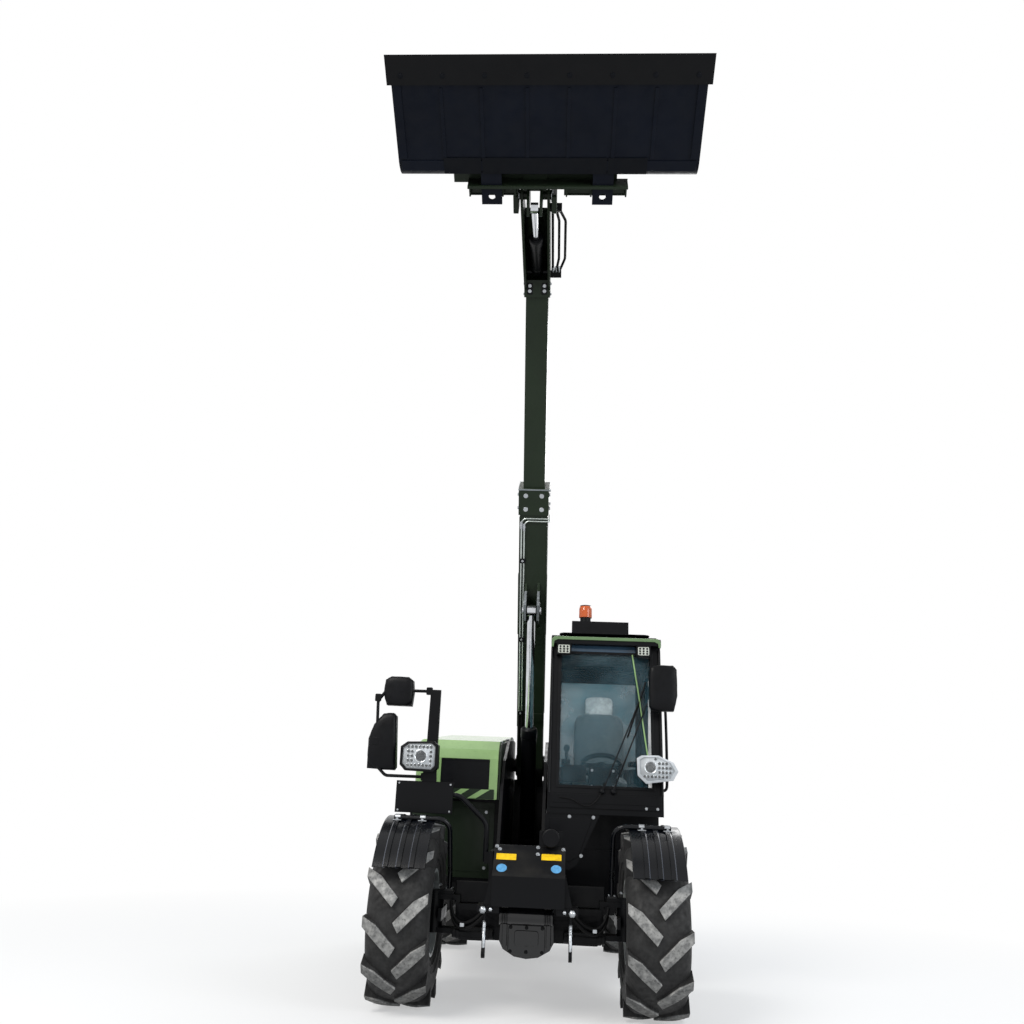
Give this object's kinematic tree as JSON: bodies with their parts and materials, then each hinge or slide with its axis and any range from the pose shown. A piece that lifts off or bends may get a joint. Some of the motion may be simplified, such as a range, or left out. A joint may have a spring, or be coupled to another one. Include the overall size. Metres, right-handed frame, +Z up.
{
  "type": "telehandler",
  "caption": "Compact four-wheel telescopic handler with side cab, raised two-stage boom and a wide bucket.",
  "frame": {"origin": "on the ground under the middle of the whole machine with its boom raised", "axes": "+Z up; the machine faces -Y; +X is its left, where the cab stands"},
  "size_m": [2.459, 5.7439, 6.8],
  "materials": {
    "black_paint": "satin black paint",
    "black_plastic": "black moulded plastic",
    "bucket_paint": "blue-black paint, scratched",
    "dark_green_paint": "dark green paint, slightly dusty",
    "engine_iron": "dark cast iron",
    "fender_plastic": "black ribbed plastic",
    "glazing": "blue-green tinted safety glass",
    "hose_rubber": "black hydraulic hose",
    "light_green_paint": "gloss light green paint",
    "pipe_steel": "plated steel pipe",
    "rim_paint": "pale grey paint",
    "rod_chrome": "hard chrome",
    "seat_fabric": "grey woven fabric",
    "tyre": "worn rubber with grey lug faces"
  },
  "bodies": {
    "chassis": {"axle_front": "black_paint", "axle_rear": "black_paint", "boom_pin": "black_paint", "cab_frame": "black_paint", "cab_roof": "light_green_paint", "cab_windows": "glazing", "counterweight": "black_paint", "engine_bay": "black_paint", "engine_block": "engine_iron", "front_panel": "black_paint", "fuel_tank": "black_paint", "headlight_left": "black_plastic", "headlight_right": "black_plastic", "hood_panel": "black_paint", "hydraulic_tank": "black_paint", "main_frame": "black_paint", "mirror_left": "black_plastic", "mirror_right": "black_plastic", "nose": "black_paint", "roof_lights": "black_plastic", "seat": "seat_fabric", "steering_column": "black_plastic", "windscreen": "glazing"},
    "hood_lid": {"hood": "light_green_paint", "hood_grille": "black_paint"},
    "door": {"cab_door": "black_paint", "door_window": "glazing"},
    "boom": {"boom_outer": "dark_green_paint", "boom_pipes": "pipe_steel"},
    "telescope": {"boom_inner": "dark_green_paint", "hydraulic_hoses": "hose_rubber"},
    "tool": {"carriage": "dark_green_paint", "bucket": "bucket_paint", "cutting_edge": "bucket_paint"},
    "lift_barrel": {"lift_barrel": "black_paint"},
    "lift_rod": {"lift_rod": "rod_chrome"},
    "tilt_barrel": {"tilt_barrel": "black_paint"},
    "tilt_rod": {"tilt_rod": "rod_chrome"},
    "knuckle_front_left": {"knuckle_front_left": "black_paint", "fender_front_left": "fender_plastic"},
    "wheel_front_left": {"tyre_front_left": "tyre", "rim_front_left": "rim_paint"},
    "knuckle_front_right": {"knuckle_front_right": "black_paint", "fender_front_right": "fender_plastic"},
    "wheel_front_right": {"tyre_front_right": "tyre", "rim_front_right": "rim_paint"},
    "knuckle_rear_left": {"knuckle_rear_left": "black_paint"},
    "wheel_rear_left": {"tyre_rear_left": "tyre", "rim_rear_left": "rim_paint"},
    "knuckle_rear_right": {"knuckle_rear_right": "black_paint"},
    "wheel_rear_right": {"tyre_rear_right": "tyre", "rim_rear_right": "rim_paint"}
  },
  "joints": [
    {"name": "hood_hinge", "type": "hinge", "parent": "chassis", "child": "hood_lid", "pos_m": [-0.2395, 0.085, 1.9], "axis": [0, 0.9971, 0.0767], "range_deg": [0, 55]},
    {"name": "door_hinge", "type": "hinge", "parent": "chassis", "child": "door", "pos_m": [1.1295, 1.099, 1.8], "axis": [0, 0, 1], "range_deg": [0, 90]},
    {"name": "boom_lift", "type": "hinge", "parent": "chassis", "child": "boom", "pos_m": [-0.0235, 1.755, 1.76], "axis": [-1, 0, 0], "range_deg": [-68, 6]},
    {"name": "boom_extend", "type": "slide", "parent": "boom", "child": "telescope", "axis": [0, -0.5161, 0.8565], "range_m": [-1.5, 0]},
    {"name": "tool_tilt", "type": "hinge", "parent": "telescope", "child": "tool", "pos_m": [-0.0235, -1.84816, 5.9962], "axis": [-1, 0, 0], "range_deg": [-75, 55]},
    {"name": "lift_barrel_pin", "type": "hinge", "parent": "chassis", "child": "lift_barrel", "pos_m": [-0.0235, 1.505, 0.85], "axis": [-1, 0, 0], "range_deg": [-53.53, 5.18]},
    {"name": "lift_rod_slide", "type": "slide", "parent": "lift_barrel", "child": "lift_rod", "axis": [0, -0.3792, 0.9253], "range_m": [-0.8895, 0.0821]},
    {"name": "tilt_barrel_pin", "type": "hinge", "parent": "telescope", "child": "tilt_barrel", "pos_m": [-0.0235, -0.87836, 5.91739], "axis": [-1, 0, 0], "range_deg": [-4.27, 3.27]},
    {"name": "tilt_rod_slide", "type": "slide", "parent": "tilt_barrel", "child": "tilt_rod", "axis": [0, -0.9956, -0.0939], "range_m": [-0.2021, 0.1492]},
    {"name": "steer_front_left", "type": "hinge", "parent": "chassis", "child": "knuckle_front_left", "pos_m": [0.7765, -0.695, 0.625], "axis": [0, 0, 1], "range_deg": [-30, 30]},
    {"name": "roll_front_left", "type": "hinge", "parent": "knuckle_front_left", "child": "wheel_front_left", "pos_m": [0.9715, -0.695, 0.625], "axis": [1, 0, 0], "continuous": true},
    {"name": "steer_front_right", "type": "hinge", "parent": "chassis", "child": "knuckle_front_right", "pos_m": [-0.6235, -0.695, 0.625], "axis": [0, 0, 1], "range_deg": [-30, 30]},
    {"name": "roll_front_right", "type": "hinge", "parent": "knuckle_front_right", "child": "wheel_front_right", "pos_m": [-0.8185, -0.695, 0.625], "axis": [1, 0, 0], "continuous": true},
    {"name": "steer_rear_left", "type": "hinge", "parent": "chassis", "child": "knuckle_rear_left", "pos_m": [0.7765, 2.055, 0.625], "axis": [0, 0, 1], "range_deg": [-30, 30]},
    {"name": "roll_rear_left", "type": "hinge", "parent": "knuckle_rear_left", "child": "wheel_rear_left", "pos_m": [0.9715, 2.055, 0.625], "axis": [1, 0, 0], "continuous": true},
    {"name": "steer_rear_right", "type": "hinge", "parent": "chassis", "child": "knuckle_rear_right", "pos_m": [-0.6235, 2.055, 0.625], "axis": [0, 0, 1], "range_deg": [-30, 30]},
    {"name": "roll_rear_right", "type": "hinge", "parent": "knuckle_rear_right", "child": "wheel_rear_right", "pos_m": [-0.8185, 2.055, 0.625], "axis": [1, 0, 0], "continuous": true}
  ],
  "couplings": [
    {"joint": "lift_barrel_pin", "follows": "boom_lift", "ratio": 0.7798},
    {"joint": "lift_rod_slide", "follows": "boom_lift", "m_per_rad": 0.7461},
    {"joint": "tilt_barrel_pin", "follows": "tool_tilt", "ratio": 0.0503},
    {"joint": "tilt_rod_slide", "follows": "tool_tilt", "m_per_rad": 0.1513},
    {"joint": "steer_front_right", "follows": "steer_front_left", "ratio": 1},
    {"joint": "steer_rear_left", "follows": "steer_front_left", "ratio": -1},
    {"joint": "steer_rear_right", "follows": "steer_front_left", "ratio": -1}
  ]
}
